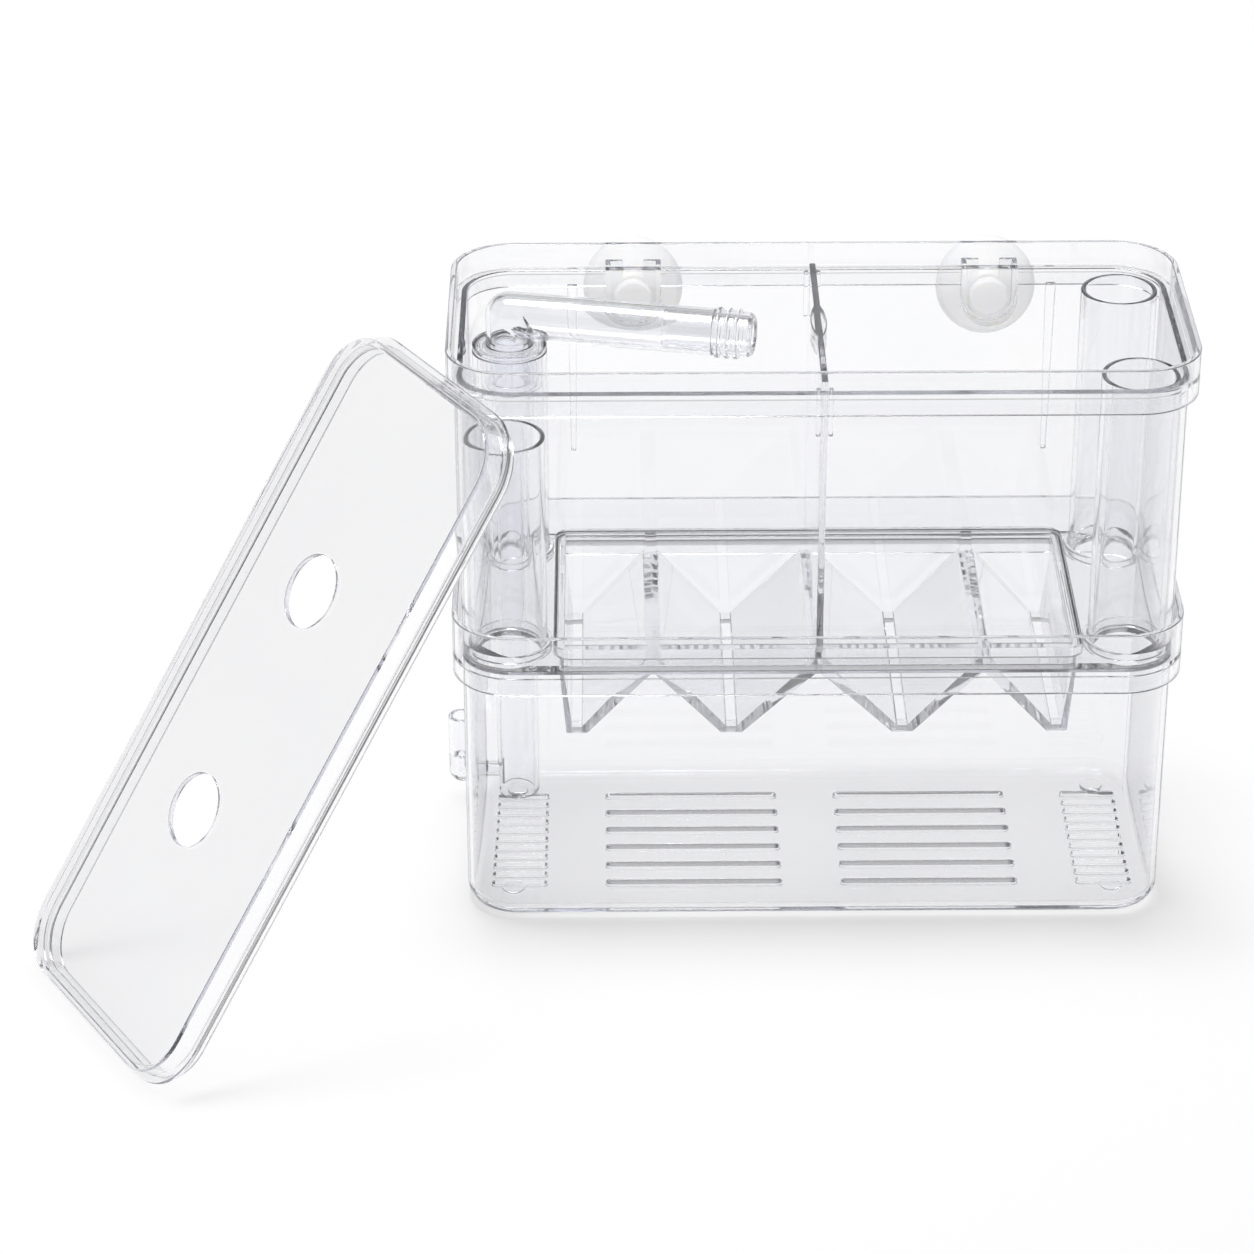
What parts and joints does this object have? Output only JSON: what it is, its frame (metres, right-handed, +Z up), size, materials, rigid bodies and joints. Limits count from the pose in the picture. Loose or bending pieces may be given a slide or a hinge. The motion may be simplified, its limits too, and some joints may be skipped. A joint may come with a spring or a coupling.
{
  "type": "fish breeding box",
  "caption": "Clear stacked fish breeding box with hatching tray, divider, corner tubes, air-lift outlet, suction cups and a lid leaning beside it",
  "frame": {"origin": "centre of the lower tank's underside", "axes": "+X to the right along the long side, +Y to the back wall with the suction cups, +Z up"},
  "size_m": [0.3156, 0.1851, 0.17],
  "materials": {
    "tank_clear": "clear, polished",
    "tray_clear": "clear, faintly drawn",
    "tube_clear": "clear extruded tube",
    "pipe_clear": "clear moulded pipe",
    "lid_clear": "clear with a soft haze",
    "inlet_clear": "clear moulded plastic",
    "cup_soft": "milky soft silicone"
  },
  "bodies": {
    "lower": {"lower_tank": "tank_clear", "air_inlet": "inlet_clear"},
    "upper": {"upper_tank": "tank_clear", "tube_left_back": "tube_clear", "tube_left_front": "tube_clear", "tube_right_back": "tube_clear", "tube_right_front": "tube_clear"},
    "tray": {"hatch_tray": "tray_clear"},
    "partition": {"divider": "tray_clear"},
    "outlet": {"outlet_plug": "pipe_clear", "riser_pipe": "pipe_clear"},
    "spout": {"spout_pipe": "pipe_clear", "spout_tip": "pipe_clear"},
    "cup_left": {"suction_cup_left": "cup_soft"},
    "cup_right": {"suction_cup_right": "cup_soft"},
    "cover": {"lid": "lid_clear"}
  },
  "joints": [
    {"name": "upper_lift", "type": "slide", "parent": "lower", "child": "upper", "axis": [0, 0, 1], "range_m": [0, 0.1]},
    {"name": "tray_lift", "type": "slide", "parent": "upper", "child": "tray", "axis": [0, 0, 1], "range_m": [0, 0.06]},
    {"name": "divider_lift", "type": "slide", "parent": "tray", "child": "partition", "axis": [0, 0, 1], "range_m": [0, 0.095]},
    {"name": "outlet_lift", "type": "slide", "parent": "upper", "child": "outlet", "axis": [0, 0, 1], "range_m": [0, 0.145]},
    {"name": "spout_swivel", "type": "hinge", "parent": "outlet", "child": "spout", "pos_m": [-0.08434, 0.02734, 0.1551], "axis": [0, 0, 1], "range_deg": [-43, 12]},
    {"name": "cup_left_lift", "type": "slide", "parent": "upper", "child": "cup_left", "axis": [0, 0, 1], "range_m": [0, 0.025]},
    {"name": "cup_right_lift", "type": "slide", "parent": "upper", "child": "cup_right", "axis": [0, 0, 1], "range_m": [0, 0.025]},
    {"name": "lid_tip", "type": "hinge", "parent": "lower", "child": "cover", "pos_m": [-0.19482, -0.09372, 0], "axis": [0.518, -0.8554, 0], "range_deg": [0, 30]}
  ]
}
